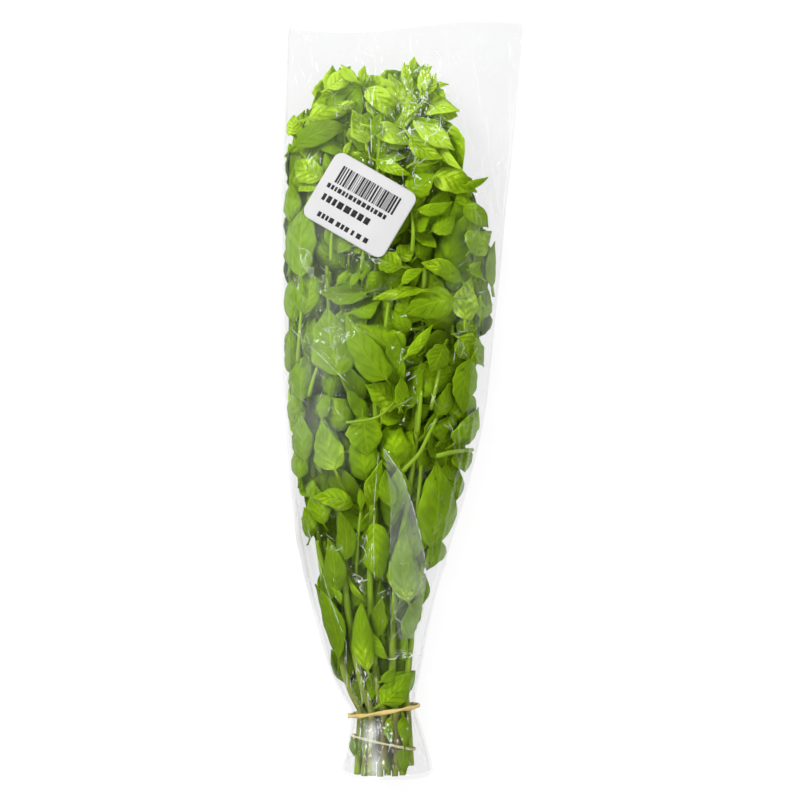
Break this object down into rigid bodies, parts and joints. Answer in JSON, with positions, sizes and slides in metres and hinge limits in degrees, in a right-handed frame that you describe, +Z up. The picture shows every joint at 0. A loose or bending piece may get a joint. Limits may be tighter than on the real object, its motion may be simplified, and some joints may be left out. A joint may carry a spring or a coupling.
{
  "type": "basil bunch",
  "caption": "Bunch of cut basil lying in a clear tapered film sleeve, banded at the stems, with a plain white label.",
  "frame": {"origin": "centre of the footprint's bounding box, on the surface that the bunch lies on", "axes": "+Y from the cut stems to the leaf tips, +X to the right seen from above with the leaf tips up, +Z up"},
  "size_m": [0.1316, 0.41, 0.044],
  "materials": {
    "film": "clear, glossy",
    "label": "satin white label stock",
    "rubber": "matt tan",
    "stem": "satin green, natural",
    "leaf_bright": "satin yellow-green, natural",
    "leaf_deep": "satin deeper green, natural"
  },
  "bodies": {
    "root": {"sleeve": "film", "label": "label", "outer_band": "rubber", "inner_band": "rubber", "stem_01": "stem", "stem_02": "stem", "stem_03": "stem", "stem_04": "stem", "stem_05": "stem", "stem_06": "stem", "stem_07": "stem", "stem_08": "stem", "stem_09": "stem", "stem_10": "stem", "stem_11": "stem", "stem_12": "stem", "leaf_01": "leaf_deep", "leaf_02": "leaf_bright", "leaf_03": "leaf_deep", "leaf_04": "leaf_bright", "leaf_05": "leaf_deep", "leaf_06": "leaf_bright", "leaf_07": "leaf_deep", "leaf_08": "leaf_bright", "leaf_09": "leaf_deep", "leaf_10": "leaf_bright", "leaf_11": "leaf_deep", "leaf_12": "leaf_bright", "leaf_13": "leaf_deep", "leaf_14": "leaf_bright", "leaf_15": "leaf_deep", "leaf_16": "leaf_bright", "leaf_17": "leaf_deep", "leaf_18": "leaf_bright", "leaf_19": "leaf_deep", "leaf_20": "leaf_bright", "leaf_21": "leaf_deep", "leaf_22": "leaf_bright", "leaf_23": "leaf_deep", "leaf_24": "leaf_bright", "leaf_25": "leaf_deep", "leaf_26": "leaf_bright", "leaf_27": "leaf_deep", "leaf_28": "leaf_bright", "leaf_29": "leaf_deep", "leaf_30": "leaf_bright", "leaf_31": "leaf_deep", "leaf_32": "leaf_bright", "leaf_33": "leaf_deep", "leaf_34": "leaf_bright", "leaf_35": "leaf_deep", "leaf_36": "leaf_bright", "leaf_37": "leaf_deep", "leaf_38": "leaf_bright", "leaf_39": "leaf_deep", "leaf_40": "leaf_bright", "leaf_41": "leaf_deep", "leaf_42": "leaf_bright", "leaf_43": "leaf_deep"}
  },
  "joints": []
}
